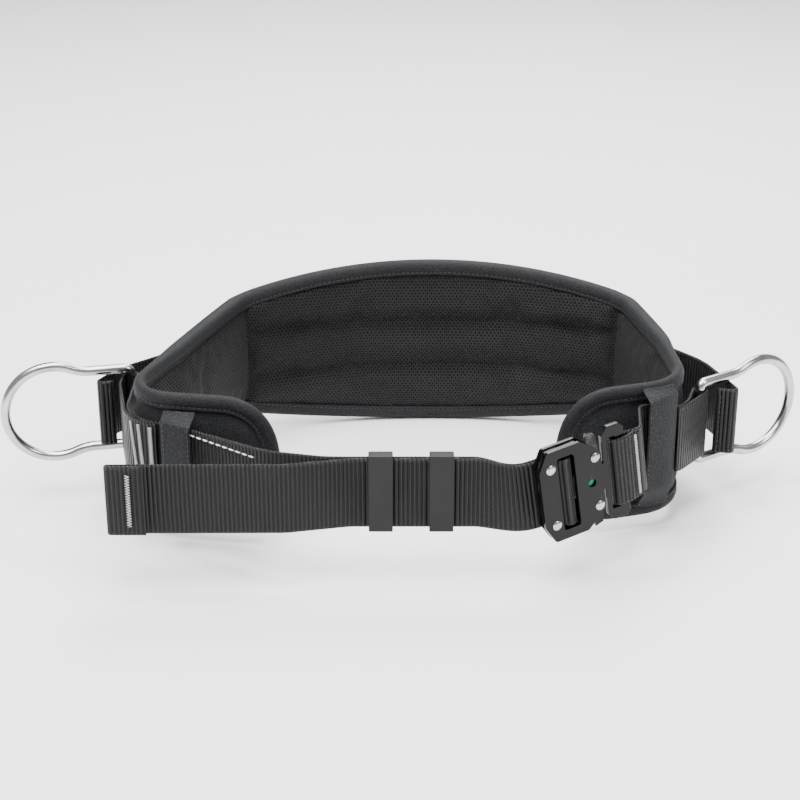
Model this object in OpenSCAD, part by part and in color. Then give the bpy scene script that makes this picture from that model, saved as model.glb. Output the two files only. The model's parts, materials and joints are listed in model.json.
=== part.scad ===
// Padded work positioning belt for tree climbing: a waist pad with two side D-rings,
// a quick connect buckle, an adjustable front web and two web keepers.
// Millimetres, +Z up, +Y towards the wearer's back, origin under the middle of the belt.

/* [Pad] */
// Height of the pad at the middle of the back
pad_h_back = 122; // [116:1:128]
// Height of the pad at the two side folds
pad_h_fold = 90; // [86:1:96]
// Height of the two front tongues
pad_h_tongue = 92; // [88:1:96]
// How far the tongues sit below the middle of the back
tongue_drop = 7; // [6:0.5:10]
// Width of the back panel between the side folds
back_w = 271; // [266:1:276]
// How far the back panel bows out behind its side folds
back_bow = 28; // [24:1:32]
// Thickness of the foam in the back and wings
foam_t = 10; // [8:0.5:11]
// Thickness of the foam in the tongues
tongue_foam_t = 6; // [5:0.5:7]
// Width of the binding tape round the pad's edge
binding_w = 10; // [8:0.5:12]
// Width of the strip sewn on each tongue as a belt loop
belt_loop_w = 20; // [16:1:22]

/* [Webbing] */
// Width of the webbing
web_w = 45; // [43:0.5:45]
// Thickness of the webbing
web_t = 2; // [1.6:0.1:2]

/* [D-rings] */
// Diameter of the ring's wire
wire_d = 6.5; // [5.5:0.5:6.5]
// Distance from the bar's middle to the far side of the ring's wire line
ring_reach = 82.5; // [80:0.5:84]
// Diameter of the round end, measured on the wire's middle line
ring_bow_d = 63.5; // [62:0.5:65]
// Height of the neck, measured on the wire's middle line
ring_neck_h = 53.5; // [53:0.5:55]
// Turn of the left ring towards the front
ring_left_turn = 12; // [5:1:20]
// Turn of the right ring towards the back
ring_right_turn = 34; // [25:1:40]

/* [Buckle] */
// Height of the receiving half on the web side
housing_h = 61; // [60:0.5:62]
// Thickness of the stamped plates
plate_t = 2.2; // [2:0.1:2.4]
// Gap between the front and back plates
plate_gap = 4.2; // [4:0.1:4.4]
// Thickness of the tongue plate and the release levers
latch_t = 3.2; // [3:0.1:3.4]
// Height of the tongue plate's frame
frame_h = 64; // [62:0.5:66]
// Radius of the rivets' shanks
rivet_r = 2.2; // [2:0.1:2.3]
// Turn of the buckle towards the wearer
buckle_turn = 26; // [24:1:28]
// Lift of the buckle's right end
buckle_lean = 9; // [8:0.5:10]

/* [Keepers] */
// Width of each keeper along the web
keeper_w = 14.5; // [12:0.5:16]
// Wall thickness of each keeper
keeper_t = 1.6; // [1.4:0.1:2]

/* [Hidden] */

black = [0.06, 0.06, 0.065];
mesh_black = [0.09, 0.09, 0.1];
fabric_grey = [0.17, 0.17, 0.18];
foam_grey = [0.3, 0.3, 0.32];
zinc = [0.78, 0.8, 0.82];
green = [0.05, 0.55, 0.3];

gap = 0.25;              // sewn layers lie this far apart
z_mid = pad_h_back / 2;  // height of the webbing's middle line

// ---- paths in plan --------------------------------------------------------------
// A path is a list of [x, y] points. The belt is laid out with x measured from the
// middle of the front and y from the line of the hips, then moved onto the origin.

function unit(v) = v / norm(v);
function left_of(v) = [-v.y, v.x];
function turn(a) = [cos(a), sin(a)];
function sums(v) = [for (i = 0, t = 0; i < len(v); t = t + v[i], i = i + 1) t + v[i]];

// A corner at p between a and b, rounded to radius r: half its angle, the arc's middle,
// and n steps along it.
function half_angle(ua, ub) = acos(max(-1, min(1, ua * ub))) / 2;
function arc_middle(a, p, b, r) =
    let (ua = unit(a - p), ub = unit(b - p)) p + unit(ua + ub) * r / sin(half_angle(ua, ub));
function corner(a, p, b, r, n) =
    let (ua = unit(a - p), ub = unit(b - p), c = arc_middle(a, p, b, r), t = r / tan(half_angle(ua, ub)),
         s = p + ua * t - c, e = p + ub * t - c,
         a0 = atan2(s.y, s.x), sweep = atan2(s.x * e.y - s.y * e.x, s * e))
    [for (k = [0 : n]) c + r * turn(a0 + sweep * k / n)];

// A polyline with its corners rounded; a radius of 0 keeps the point.
function rounded(p, r, n = 8) =
    [for (i = [0 : len(p) - 1])
        each (r[i] == 0 ? [p[i]] : corner(p[i - 1], p[i], p[i + 1], r[i], n))];

function stations(p) = sums([for (i = [0 : len(p) - 1]) i == 0 ? 0 : norm(p[i] - p[i - 1])]);
function length_of(p) = let (s = stations(p)) s[len(s) - 1];

// The point at station s of a path, and the direction of travel there.
function point_at(p, st, s) =
    [lookup(s, [for (i = [0 : len(p) - 1]) [st[i], p[i].x]]),
     lookup(s, [for (i = [0 : len(p) - 1]) [st[i], p[i].y]])];
function heading_at(p, st, s) =
    let (d = 0.8, end = st[len(st) - 1])
    unit(point_at(p, st, min(end, s + d)) - point_at(p, st, max(0, s - d)));
// The station of the path's point nearest to q.
function station_of(p, st, q) =
    let (d = [for (v = p) norm(v - q)], m = min(d)) st[search(m, d)[0]];
function smooth(t) = let (c = max(0, min(1, t))) c * c * (3 - 2 * c);

// ---- soft solids lofted along a path ----------------------------------------------
// Each ring is a list of [across, up] points; across is to the left of travel.
function slab(in, out, low, high, c) =
    [[out, low + c], [out, high - c], [out - c, high], [in + c, high],
     [in, high - c], [in, low + c], [in + c, low], [out - c, low]];

// One ring stood on the path at height z, with its own up direction.
upright = [0, 0, 1];
function stand(section, p, h, z, up = upright) =
    let (n = left_of(h))
    [for (q = section) [p.x + n.x * q.x, p.y + n.y * q.x, z] + up * q.y];

module loft(rings) {
    m = len(rings[0]);
    last = len(rings) - 1;
    sides = [for (i = [0 : last - 1], j = [0 : m - 1])
        let (a = i * m, b = a + m, k = (j + 1) % m)
        each [[a + j, b + j, b + k], [a + j, b + k, a + k]]];
    caps = [[for (j = [0 : m - 1]) j], [for (j = [m - 1 : -1 : 0]) last * m + j]];
    polyhedron(points = [for (r = rings) each r], faces = concat(sides, caps));
}

// ---- the pad's middle line ----------------------------------------------------------
fold_y = 84;
fold_left = [22.5 - back_w / 2, fold_y];
fold_right = [22.5 + back_w / 2, fold_y];
back_r = (pow(back_w / 2, 2) + pow(back_bow, 2)) / (2 * back_bow);
back_half_angle = asin(back_w / 2 / back_r);
back_centre = [22.5, fold_y + back_bow - back_r];
back_arc = [for (k = [1 : 9]) back_centre + back_r * turn(90 + back_half_angle * (1 - k / 5))];
tip_left = [-74, -90];
tip_right = [97, -81];
corner_left = [-173, -76];
corner_right = [180, -57];
wing_right = [174.5, 10];
corner_left_r = 24;
corner_right_r = 30;
middle_left = arc_middle(tip_left, corner_left, fold_left, corner_left_r);
middle_right = arc_middle(wing_right, corner_right, tip_right, corner_right_r);

pad_points = concat([tip_left, corner_left, fold_left], back_arc,
                    [fold_right, wing_right, corner_right, tip_right]);
pad_path = rounded(pad_points, concat([0, corner_left_r, 22], [for (k = back_arc) 0],
                                      [22, 90, corner_right_r, 0]));
pad_st = stations(pad_path);
pad_end = length_of(pad_path);
s_fold_left = station_of(pad_path, pad_st, fold_left);
s_fold_right = station_of(pad_path, pad_st, fold_right);
s_corner_left = station_of(pad_path, pad_st, corner_left);
s_corner_right = station_of(pad_path, pad_st, corner_right);
s_back = (s_fold_left + s_fold_right) / 2;
tongue_r = 40;   // length over which a tongue's end rounds off

// Half height of the pad at station s: tall at the back, level along the wings,
// rounded off at the tongues' ends.
function across_back(s) = min(1, abs(s - s_back) / (s_fold_right - s_back));
function to_tip(s) = min(s, pad_end - s);
function end_round(s) = let (t = min(1, to_tip(s) / tongue_r)) pow(1 - pow(1 - t, 2.4), 1 / 2.4);
function on_side(s) = s < s_back ? smooth((s_fold_left - s) / (s_fold_left - 40))
                                 : smooth((s - s_fold_right) / (pad_end - 40 - s_fold_right));
function half_height(s) =
    let (side = pad_h_fold / 2 + (pad_h_tongue - pad_h_fold) / 2 * on_side(s))
    (side + (pad_h_back - pad_h_fold) / 2 * (1 - pow(across_back(s), 2))) * end_round(s);
function pad_z(s) = z_mid - tongue_drop * on_side(s);

foam_out = foam_t / 2;
tongue_out = tongue_foam_t / 2;
liner_t = 1.4;
shell_t = 1.2;
board_t = 1.4;

// Half thickness of the foam at station s: it thins from the corners to the tongues.
function foam_half(s) = tongue_out + (foam_out - tongue_out) * smooth((to_tip(s) - 120) / 40);

// Every layer of the pad uses these stations, so that the layers stay parallel: the
// path's own points, closer steps where a tongue rounds off, and none far apart.
tip_steps = [0, 1, 2.5, 5, 8, 12, 17, 23, 30, 38, 46];
function filled(v, most) =
    [for (i = [0 : len(v) - 1])
        each (i == 0 ? [v[0]]
              : let (n = ceil((v[i] - v[i - 1]) / most))
                [for (k = [1 : n]) v[i - 1] + (v[i] - v[i - 1]) * k / n])];
pad_grid = filled(concat(tip_steps, [for (s = pad_st) if (s > 50 && s < pad_end - 50) s],
                         [for (i = [len(tip_steps) - 1 : -1 : 0]) pad_end - tip_steps[i]]), 18);
function pad_stations(a, b) = concat([a], [for (s = pad_grid) if (s > a + 0.7 && s < b - 0.7) s], [b]);

// Part of the pad between stations a and b, from t0 to t1 across. The section's lower
// and upper limits are functions of the half height, less the margin.
module pad_run(a, b, t0, t1, low, high, margin, c) {
    loft([for (s = pad_stations(a, b))
        let (h = max(0.5, half_height(s) - margin), f = foam_half(s) - foam_out)
        stand(slab(t0(f), t1(f), low(h), high(h), min(c, h / 3)),
              point_at(pad_path, pad_st, s), heading_at(pad_path, pad_st, s), pad_z(s))]);
}

// ---- hips and front of the belt -------------------------------------------------------
bar_left = [-177, -9];
bar_right = [193, -36];
loop_clear = 0.42;
loop_r = wire_d / 2 + loop_clear + web_t / 2;   // web's middle line round a ring's bar
buckle_xy = [102, -137];
buckle_z = 1.5;
buckle_u = turn(buckle_turn);
layer = web_t + 0.45;                          // step between two layers of webbing
strap_y = -138.6;                              // the front web's middle line at the keepers
tail_y = -149.8;
tail_x = -171.5;

// Belt frame to the origin: the middle of the overall box, at the pad's lower edge.
ring_left_tip = bar_left.x - cos(ring_left_turn) * ring_reach - wire_d / 2;
ring_right_tip = bar_right.x + cos(ring_right_turn) * ring_reach + wire_d / 2;
back_web_line = foam_out + board_t + shell_t + 2 * gap + web_t / 2 + 0.4;
back_face = fold_y + back_bow + back_web_line + web_t / 2;
origin = [(ring_left_tip + ring_right_tip) / 2, (back_face + tail_y - layer - web_t / 2) / 2];
module belt() translate([-origin.x, -origin.y, 0]) children();

// Place along the buckle's pull of a point in plan, and how fully it follows the buckle.
function along_buckle(p) = (p - buckle_xy) * buckle_u / cos(buckle_lean);
function follows(p) = let (u = along_buckle(p)) u < 0 ? smooth((u + 54) / 30) : 1 - smooth((u - 47) / 60);
function in_buckle(u, y) = buckle_xy + u * cos(buckle_lean) * buckle_u + y * left_of(buckle_u);
function web_up(f) = [-buckle_u.x * sin(f * buckle_lean), -buckle_u.y * sin(f * buckle_lean),
                      cos(f * buckle_lean)];

// A polyline moved to its left by d, with mitred corners; its end points are dropped.
function mitred(p, d) =
    [for (i = [1 : len(p) - 2])
        let (a = left_of(unit(p[i] - p[i - 1])), b = left_of(unit(p[i + 1] - p[i])))
        p[i] + (a + b) * d / (1 + a * b)];
// Points added so that no step is longer than most.
function refined(p, most) =
    [for (i = [0 : len(p) - 1])
        each (i == 0 ? [p[0]]
              : let (n = ceil(norm(p[i] - p[i - 1]) / most))
                [for (k = [1 : n]) p[i - 1] + (p[i] - p[i - 1]) * k / n])];

web_step = 16;
// Webbing along a path. At the front it follows the buckle's lean.
module webbing(path, at_front = true) {
    p = refined(path, web_step);
    st = stations(p);
    section = slab(-web_t / 2, web_t / 2, -web_w / 2, web_w / 2, 0.3);
    loft([for (i = [0 : len(p) - 1])
        let (f = at_front ? follows(p[i]) : 0,
             z = z_mid + f * (buckle_z + along_buckle(p[i]) * sin(buckle_lean)))
        stand(section, p[i], heading_at(p, st, st[i]), z, web_up(f))]);
}
// Half a turn of webbing's middle line round c, from angle a, turning by sweep.
function turned(c, r, a, sweep, n = 8) = [for (k = [0 : n]) c + r * turn(a + sweep * k / n)];

// ---- pad -------------------------------------------------------------------------------
channel = 18;      // half height of the middle channel
seam_gap = 0.5;    // the sewn channel seams leave this between the foam strips

module foam_strip(low, high)
    pad_run(s_fold_left + 1, s_fold_right - 1, function (f) -foam_out, function (f) foam_out,
            low, high, binding_w, 3);
module foam_back_upper() color(foam_grey) belt()
    foam_strip(function (h) channel + seam_gap / 2, function (h) h);
module foam_back_middle() color(foam_grey) belt()
    foam_strip(function (h) seam_gap / 2 - channel, function (h) channel - seam_gap / 2);
module foam_back_lower() color(foam_grey) belt()
    foam_strip(function (h) -h, function (h) -channel - seam_gap / 2);

module foam_side(a, b)
    pad_run(a, b, function (f) -foam_out - f, function (f) foam_out + f,
            function (h) -h, function (h) h, binding_w, 3);
module foam_wing_left() color(foam_grey) belt() foam_side(s_corner_left + 12, s_fold_left - 1);
module foam_wing_right() color(foam_grey) belt() foam_side(s_fold_right + 1, s_corner_right - 12);
module foam_tongue_left() color(foam_grey) belt() foam_side(12, s_corner_left + 11.5);
module foam_tongue_right() color(foam_grey) belt() foam_side(s_corner_right - 11.5, pad_end - 12);

// A thin layer of the pad between stations a and b; t0 and t1 as in pad_run.
module skin(a, b, t0, t1, margin)
    pad_run(a, b, t0, t1, function (h) -h, function (h) h, margin, 0.3);
module back_stiffener() color(black) belt()
    skin(s_corner_left + 20, s_corner_right - 20, function (f) foam_out + f + gap,
         function (f) foam_out + f + gap + board_t, binding_w + 4);
module mesh_liner() color(mesh_black) belt()
    skin(6, pad_end - 6, function (f) -foam_out - f - gap - liner_t,
         function (f) -foam_out - f - gap, binding_w);
module outer_shell() color(fabric_grey) belt()
    skin(6, pad_end - 6, function (f) foam_out + f + 2 * gap + board_t,
         function (f) foam_out + f + 2 * gap + board_t + shell_t, binding_w);

// The binding's section lies between the edge and the foam.
module edge_run(a, b, side)
    loft([for (s = pad_stations(a, b))
        let (h = half_height(s), f = foam_half(s), top = max(1.2, h), low = max(0.6, h - binding_w + gap))
        stand(side > 0 ? slab(-f, f + 1, low, top, min(2.5, (top - low) / 3))
                       : slab(-f, f + 1, -top, -low, min(2.5, (top - low) / 3)),
              point_at(pad_path, pad_st, s), heading_at(pad_path, pad_st, s), pad_z(s))]);
tip_band = 11.5;
module tip_run(a, b)
    loft([for (s = pad_stations(a, b))
        let (h = max(1.2, half_height(s)), f = foam_half(s))
        stand(slab(-f, f + 1, -h, h, min(2.5, h / 3)),
              point_at(pad_path, pad_st, s), heading_at(pad_path, pad_st, s), pad_z(s))]);
module binding_back() color(black) belt() for (side = [-1, 1])
    edge_run(s_fold_left + gap, s_fold_right - gap, side);
module binding_left() color(black) belt() union() {
    for (side = [-1, 1]) edge_run(tip_band - 1, s_fold_left - gap, side);
    tip_run(0.3, tip_band);
}
module binding_right() color(black) belt() union() {
    for (side = [-1, 1]) edge_run(s_fold_right + gap, pad_end - tip_band + 1, side);
    tip_run(pad_end - tip_band, pad_end - 0.3);
}

// Strip sewn on a tongue's outer face: it arches over the webbing.
loop_t = 1.2;
module belt_loop(middle, rise0, rise1, lift) {
    s0 = middle - belt_loop_w / 2;
    foot = tongue_out + 3 * gap + board_t + shell_t;
    arch = web_w / 2 + 2.2;
    arch_up = arch + lift;
    top = arch_up + 5;
    bottom = -44;
    function parts(r) = [
        [[foot + loop_t, bottom], [r + loop_t, -arch], [r, 1 - arch], [foot, bottom + 3], [foot, bottom]],
        [[r + loop_t, -arch], [r + loop_t, arch_up], [r, arch_up - 1], [r, 1 - arch]],
        [[r + loop_t, arch_up], [foot + loop_t, top], [foot, top], [foot, top - 3], [r, arch_up - 1]]];
    for (i = [0 : 2]) loft([for (s = pad_stations(s0, s0 + belt_loop_w))
        stand(parts(rise0 + (rise1 - rise0) * (s - s0) / belt_loop_w)[i],
              point_at(pad_path, pad_st, s), heading_at(pad_path, pad_st, s), z_mid)]);
}
s_loop_left = s_corner_left - 30;
s_loop_right = s_corner_right + 18.5;
module belt_loop_left() color(fabric_grey) belt()
    belt_loop(s_loop_left, 22, 13.5, 0);
module belt_loop_right() color(fabric_grey) belt()
    belt_loop(s_loop_right, 10.6, 18.5, 8.5);

// ---- webbing ---------------------------------------------------------------------------
// Back web: round the outside of the pad, out through each ring's neck, with hemmed ends.
back_web_path = rounded(
    concat([[-187, -20], [-200, -26], [-187, 1], [-146, 40]],
           mitred([for (i = [1 : len(pad_points) - 3]) pad_points[i]], back_web_line),
           [[181, 44], [203, 15], [219, -37], [204, -33]]),
    concat([0, 3, 40, 60, 31], [for (k = back_arc) 0], [31, 60, 60, 3, 0]), 6);
module back_web() color(black) belt() webbing(back_web_path, false);

// Front web: sewn round the left ring's bar, through the left belt loop and the keepers,
// round the buckle's adjuster bar and back as the free tail with a folded hem.
bar_u = -4;                  // adjuster bar's place along the pull
bar_r = 1.8;
bar_travel = 0.8;
wrap_r = bar_r + 0.3 + bar_travel + web_t / 2;
tail_leg = plate_gap / 2 + plate_t + 0.35 + web_t / 2;
main_leg = tail_leg + layer;
round_left = corner_left_r + 8.1;    // the web's middle line round the left corner
front_web_path = concat(
    turned(middle_left, round_left + layer, 252, -66, 7),
    [[bar_left.x - loop_r - 0.2, -24]],
    turned(bar_left, loop_r, 180, -180),
    [[bar_left.x + loop_r, -40]],
    turned(middle_left, round_left, 181, 70, 8),
    rounded([middle_left + round_left * turn(252), middle_left + round_left * turn(262), [-80, -130],
             [-46, strap_y + 0.5], [-34, strap_y], [46, strap_y], in_buckle(-30, main_leg),
             in_buckle(bar_u + wrap_r, main_leg), in_buckle(bar_u + wrap_r, 0)],
            [0, 28, 60, 40, 30, 30, 40, 2.4, 0], 5),
    turned(in_buckle(bar_u, 0), wrap_r, buckle_turn, -180),
    rounded([in_buckle(bar_u - wrap_r, 0), in_buckle(bar_u - wrap_r, tail_leg),
             in_buckle(-28, tail_leg), [46, strap_y - layer], [-30, strap_y - layer],
             [-68, tail_y + 0.4], [tail_x, tail_y]], [0, 1.8, 40, 30, 30, 40, 0], 5),
    turned([tail_x, tail_y - layer / 2], layer / 2, 90, 180, 6),
    [[tail_x + 21, tail_y - layer]]);
module front_web() color(black) belt() webbing(front_web_path);

// Link web: sewn round the right ring's bar, through the right belt loop and round the
// bar of the buckle's tongue plate.
frame_bar = [32, 38.5];      // the tongue plate's web bar along the pull
frame_leg = latch_t / 2 + loop_clear + web_t / 2;
round_right = corner_right_r + 8.8;  // the web's middle line round the right corner
leaves = -36.5;              // angle at which the outer leg leaves the corner for the bar
link_web_path = concat(
    turned(middle_right, round_right + layer, -49, 49 + leaves, 3),
    turned(bar_right, loop_r, leaves, 180 - leaves, 10),
    turned(middle_right, round_right, -12, -56, 7),
    rounded([middle_right + round_right * turn(-72), [150, -80], in_buckle(52, layer / 2),
             in_buckle(46, layer / 2), in_buckle(frame_bar[1] + 0.5, frame_leg),
             in_buckle(frame_bar[0], frame_leg)], [0, 10, 6, 0, 0, 0], 6),
    turned(in_buckle(frame_bar[0] - 0.4, 0), frame_leg, buckle_turn + 90, 180),
    [in_buckle(frame_bar[0], -frame_leg), in_buckle(frame_bar[1] + 0.5, -frame_leg),
     in_buckle(45, -layer / 2), in_buckle(49, -layer / 2)]);
module link_web() color(black) belt() webbing(link_web_path);

// ---- D-rings ---------------------------------------------------------------------------
bend_r = 4;                  // corner between the bar and the neck
flare_r = 30;                // where the neck opens into the round end
bow_r = ring_bow_d / 2;
bow_x = ring_reach - bow_r;
neck = ring_neck_h / 2;
flare_x = bow_x - sqrt(pow(bow_r + flare_r, 2) - pow(neck + flare_r, 2));
flare_a = atan2(neck + flare_r, bow_x - flare_x);

// The wire's middle line from inside one end of the bar round to the other.
bar_half = neck - bend_r;
upper_half = concat(
    [[0, bar_half - 3]], turned([bend_r, bar_half], bend_r, 180, -90, 5),
    turned([flare_x, neck + flare_r], flare_r, -90, 90 - flare_a, 4),
    [for (k = [1 : 11]) [bow_x, 0] + bow_r * turn((180 - flare_a) * (1 - k / 11))]);
wire_path = concat(upper_half, [for (i = [len(upper_half) - 2 : -1 : 0])
                                [upper_half[i].x, -upper_half[i].y]]);
wire_sides = 12;
bar_over = 0.05;             // the straight bar takes in the bent wire's corners
// A ring in its own frame: bar on Z, round end towards +X.
module d_ring() {
    last = len(wire_path) - 1;
    cylinder(h = 2 * bar_half, r = wire_d / 2 + bar_over, center = true, $fn = 48);
    loft([for (i = [0 : last])
        let (p = wire_path[i], side = left_of(unit(wire_path[min(last, i + 1)] - wire_path[max(0, i - 1)])))
        [for (k = [0 : wire_sides - 1])
            let (q = wire_d / 2 / cos(90 / wire_sides) * turn(360 * k / wire_sides))
            [p.x + side.x * q.x, -q.y, p.y + side.y * q.x]]]);
}
module d_ring_left() color(zinc) belt()
    translate([bar_left.x, bar_left.y, z_mid]) rotate([0, 0, 180 + ring_left_turn]) d_ring();
module d_ring_right() color(zinc) belt()
    translate([bar_right.x, bar_right.y, z_mid]) rotate([0, 0, ring_right_turn]) d_ring();

// ---- keepers ---------------------------------------------------------------------------
keeper_in_y = web_t + layer + 0.8;
keeper_in_z = web_w + 1.2;
keeper_xs = [-11.5, 24.7];
module keeper(x) translate([x, strap_y - layer / 2, z_mid]) difference() {
    cube([keeper_w, keeper_in_y + 2 * keeper_t, keeper_in_z + 2 * keeper_t], center = true);
    cube([keeper_w + 1, keeper_in_y, keeper_in_z], center = true);
}
module keeper_inner() color(fabric_grey) belt() keeper(keeper_xs[0]);
module keeper_outer() color(fabric_grey) belt() keeper(keeper_xs[1]);

// ---- buckle ----------------------------------------------------------------------------
// In the buckle's own frame x is along the pull, y through it and z up it.
module in_frame() belt() translate([buckle_xy.x, buckle_xy.y, z_mid + buckle_z])
    rotate([0, -buckle_lean, buckle_turn]) children();
// A flat piece between y0 and y1 from an outline in x and z.
module flat(y0, y1) translate([0, y1, 0]) rotate([90, 0, 0]) linear_extrude(y1 - y0) children();
function closed(p, r, n = 3) =
    let (m = len(p)) [for (i = [0 : m - 1]) each corner(p[(i + m - 1) % m], p[i], p[(i + 1) % m], r, n)];
function mirrored(p) = concat(p, [for (i = [len(p) - 1 : -1 : 0]) [p[i].x, -p[i].y]]);

face = plate_gap / 2;
half_h = housing_h / 2;
window = [[-9.5, -24.5], [-9.5, 24.5], [2, 24.5], [2, -24.5]];
rivet_xz = [[-14.3, 19], [-14.3, -19], [16, 16.5], [16, -16.5]];
sight = [12.5, 0];           // the window that shows the lock indicator
sight_r = 2.6;

housing_outline = closed(mirrored([[-22, 19], [-16, half_h], [7, half_h], [20, 19]]), 2.5);
module housing_plate(y0, y1) difference() {
    flat(y0, y1) difference() {
        polygon(housing_outline);
        polygon(closed(window, 1.5));
    }
    for (p = rivet_xz) translate([p[0], y0 - 1, p[1]]) rotate([-90, 0, 0])
        cylinder(h = y1 - y0 + 2, r = rivet_r + 0.02, $fn = 32);
}
module buckle_front_plate() color(black) in_frame() difference() {
    housing_plate(-face - plate_t, -face);
    translate([sight.x, -face + 1, sight.y]) rotate([90, 0, 0])
        cylinder(h = plate_t + 2, r = sight_r, $fn = 32);
}
module buckle_back_plate() color(black) in_frame() housing_plate(face, face + plate_t);

// Spacer between the plates: the cross piece that the rivets hold and the side rails in
// which the adjuster bar slides.
rail_in = 24.8;
rail_out = half_h - 1;
bar_slot = bar_r + bar_travel + 0.1;
spacer_half = face - 0.05;
module buckle_side_rails() color(black) in_frame() difference() {
    flat(-spacer_half, spacer_half) difference() {
        polygon(mirrored([[-21, 18], [-15.5, rail_out], [6, rail_out], [9, rail_in]]));
        translate([-10.5, -rail_in]) square([30, 2 * rail_in]);
        translate([bar_u - bar_slot, -rail_in - 3]) square([2 * bar_slot, 2 * rail_in + 6]);
    }
    for (p = rivet_xz) translate([p[0], -face - 1, p[1]]) rotate([-90, 0, 0])
        cylinder(h = plate_gap + 2, r = rivet_r + 0.02, $fn = 32);
}

head_r = 3.1;
head_h = 1.1;
rivet_half = face + plate_t;
// Headed at the front, flush with the plate at the back.
module rivet() rotate_extrude($fn = 32) polygon([
    [0, -rivet_half], [rivet_r, -rivet_half], [rivet_r, rivet_half], [head_r, rivet_half],
    [head_r, rivet_half + 0.4], [head_r * 0.6, rivet_half + head_h], [0, rivet_half + head_h]]);
module buckle_rivets() color(zinc) in_frame() for (p = rivet_xz)
    translate([p[0], 0, p[1]]) rotate([90, 0, 0]) rivet();

module adjuster_bar() color(black) in_frame()
    translate([bar_u, 0, 0]) cylinder(h = 2 * (rail_in + 2.5), r = bar_r, center = true, $fn = 32);

// Release levers: each turns on a mouth rivet. Its nose bears on the tongue's shoulder
// along a line square to the pivot, so the pull can't turn it.
pivot = rivet_xz[2];
bear = pivot + [-9, -6];
square_off = left_of(unit(bear - pivot));
lever_half = latch_t / 2;
shoulder_gap = 0.3;
neck_half = 8.8;
head_half = 11.2;
function on_bear(back, z) =
    let (b = bear + unit(bear - pivot) * back) b + square_off * (z - b.y) / square_off.y;
lever_outline = closed([
    on_bear(0, neck_half + 0.3), [13.5, neck_half + 0.3], [19.8, 13], [20.2, 20], [18.6, 30],
    [13, 31.5], [12.2, 22.5], [8, 17], on_bear(0, 12.6)], 0.5, 2);
module lever() difference() {
    flat(-lever_half, lever_half) polygon(lever_outline);
    translate([pivot.x, -face, pivot.y]) rotate([-90, 0, 0])
        cylinder(h = plate_gap, r = rivet_r + 0.06, $fn = 48);
}
module release_lever_upper() color(black) in_frame() lever();
module release_lever_lower() color(black) in_frame() mirror([0, 0, 1]) lever();

// Leaf springs that push the levers home, one over each lever.
module lever_springs() color(zinc) in_frame() for (side = [0, 1]) mirror([0, 0, side])
    flat(-1.2, 1.2) polygon([[1.5, 23.6], [1.5, 24.6], [6, 24.6], [9.6, 21.2], [9, 20.6], [5.6, 23.6]]);

// Tongue plate: the head that the levers hold, the neck, and the frame with the web bar.
frame_x = 22.8;
tongue_outline = mirrored([
    [1.2, 7], [4.2, head_half], on_bear(shoulder_gap, head_half), on_bear(shoulder_gap, neck_half),
    [frame_x, neck_half], [frame_x, 27], [27, frame_h / 2], [frame_bar[1] - 3, frame_h / 2],
    [frame_bar[1], frame_h / 2 - 3]]);
module tongue_plate() color(black) in_frame() flat(-lever_half, lever_half) difference() {
    polygon(tongue_outline);
    polygon(closed([[26.2, -24.2], [26.2, 24.2], [frame_bar[0], 24.2], [frame_bar[0], -24.2]], 1));
}
module lock_indicator() color(green) in_frame()
    translate([sight.x, -lever_half, sight.y]) rotate([90, 0, 0])
        cylinder(h = 0.4, r = sight_r - 0.3, $fn = 32);

foam_back_upper();
foam_back_middle();
foam_back_lower();
back_stiffener();
foam_wing_left();
foam_wing_right();
foam_tongue_left();
foam_tongue_right();
mesh_liner();
outer_shell();
binding_back();
binding_left();
binding_right();
belt_loop_left();
belt_loop_right();
back_web();
front_web();
link_web();
d_ring_left();
d_ring_right();
keeper_inner();
keeper_outer();
buckle_front_plate();
buckle_back_plate();
buckle_side_rails();
buckle_rivets();
adjuster_bar();
release_lever_upper();
release_lever_lower();
lever_springs();
lock_indicator();
tongue_plate();
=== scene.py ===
import math

import bpy
import numpy as np
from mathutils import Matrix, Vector
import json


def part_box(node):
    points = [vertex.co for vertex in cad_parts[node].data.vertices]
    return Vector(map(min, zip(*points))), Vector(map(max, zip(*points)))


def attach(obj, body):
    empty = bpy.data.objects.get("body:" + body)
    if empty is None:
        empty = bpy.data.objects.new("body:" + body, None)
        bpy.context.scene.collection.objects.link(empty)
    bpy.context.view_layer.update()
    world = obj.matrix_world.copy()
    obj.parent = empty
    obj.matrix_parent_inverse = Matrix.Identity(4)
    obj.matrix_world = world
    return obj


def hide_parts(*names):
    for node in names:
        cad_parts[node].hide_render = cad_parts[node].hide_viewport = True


# Looks of a padded work positioning belt. Metres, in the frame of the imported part.

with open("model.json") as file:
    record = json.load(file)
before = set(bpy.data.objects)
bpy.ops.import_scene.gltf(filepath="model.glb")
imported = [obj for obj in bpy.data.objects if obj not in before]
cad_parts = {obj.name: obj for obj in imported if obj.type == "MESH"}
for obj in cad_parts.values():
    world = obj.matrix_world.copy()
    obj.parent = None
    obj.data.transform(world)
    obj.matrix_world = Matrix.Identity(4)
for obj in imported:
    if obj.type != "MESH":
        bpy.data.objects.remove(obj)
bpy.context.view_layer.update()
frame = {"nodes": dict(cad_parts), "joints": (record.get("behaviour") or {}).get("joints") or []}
MM = 0.001
joints = {j["name"]: j for j in frame["joints"]}


# ---- places taken from the frame ------------------------------------------------------------------
def span(node):
    low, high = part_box(node)
    return np.array(low), np.array(high)


bar_left = np.array(joints["ring_left_swing"]["pos_m"])
bar_right = np.array(joints["ring_right_swing"]["pos_m"])
z_mid = bar_left[2]
web_low, web_high = span("back_web")
WEB_W = web_high[2] - web_low[2]
WEB_T = 2 * MM
LAYER = WEB_T + 0.45 * MM
# The belt is laid out from the middle of its front; this moves the layout onto the frame.
shift = bar_left[:2] - np.array([-177, -9]) * MM

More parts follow.
